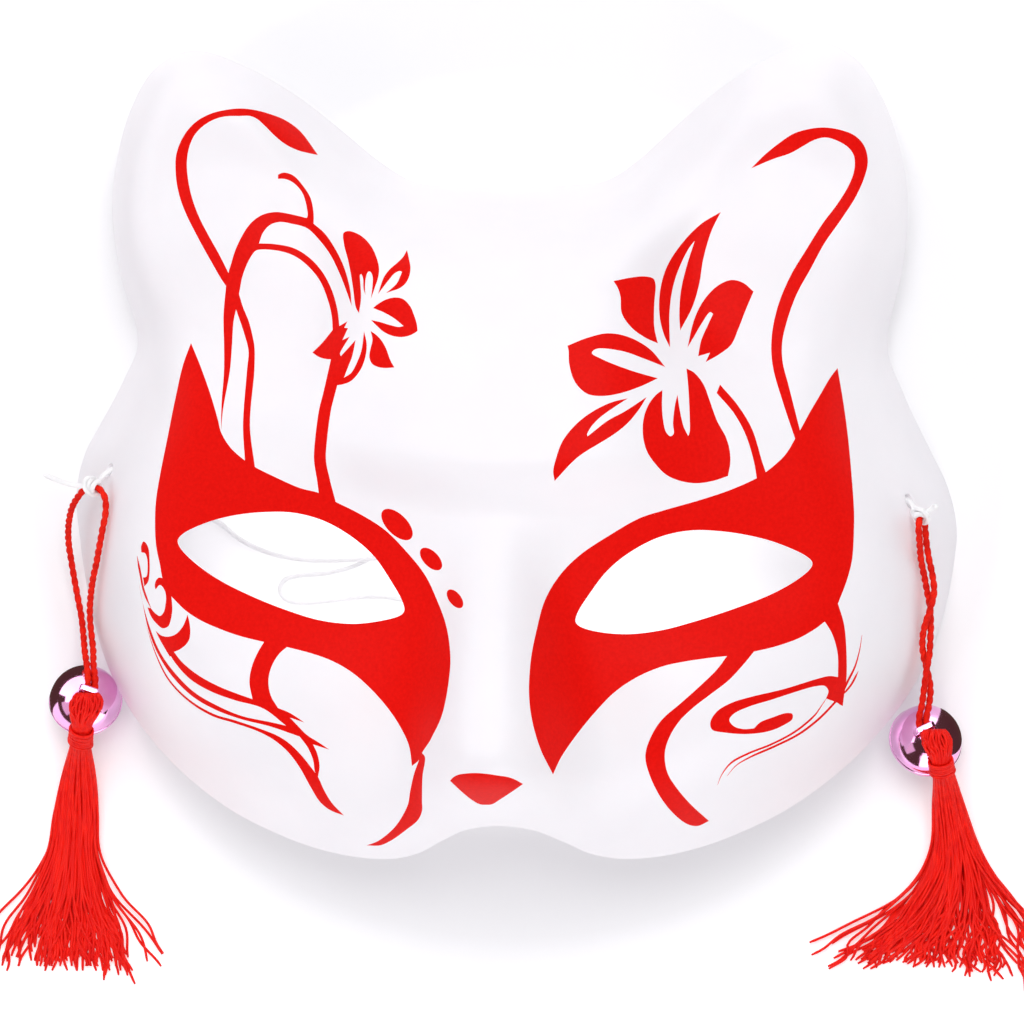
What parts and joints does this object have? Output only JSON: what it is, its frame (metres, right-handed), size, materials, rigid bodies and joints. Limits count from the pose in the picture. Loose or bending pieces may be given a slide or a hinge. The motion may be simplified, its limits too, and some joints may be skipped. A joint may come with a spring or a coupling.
{
  "type": "masquerade mask",
  "caption": "Half-face fox mask of thin moulded plastic with red printed ornament, side tassels, jingle bells and a head elastic, lying on its rim.",
  "frame": {"origin": "on the table, under the middle of the mask's own outline", "axes": "+X to the right of the face as seen from the front, +Y towards the ears, +Z out of the face"},
  "size_m": [0.2164, 0.1974, 0.0707],
  "materials": {
    "mask_plastic": "satin white moulded sheet, printed in red",
    "white_elastic": "thin round covered elastic",
    "red_cord": "twisted cord with a soft sheen",
    "bell_metal": "pink metallic, mirror bright",
    "red_thread": "silky tassel thread"
  },
  "bodies": {
    "root": {"mask_shell": "mask_plastic", "head_elastic": "white_elastic", "left_elastic_knot": "white_elastic", "right_elastic_knot": "white_elastic", "left_tassel_cord": "red_cord", "right_tassel_cord": "red_cord", "left_bell": "bell_metal", "right_bell": "bell_metal", "left_bell_eye": "bell_metal", "right_bell_eye": "bell_metal", "left_tassel_threads": "red_thread", "right_tassel_threads": "red_thread", "left_tassel_binding": "red_thread", "right_tassel_binding": "red_thread"}
  },
  "joints": []
}
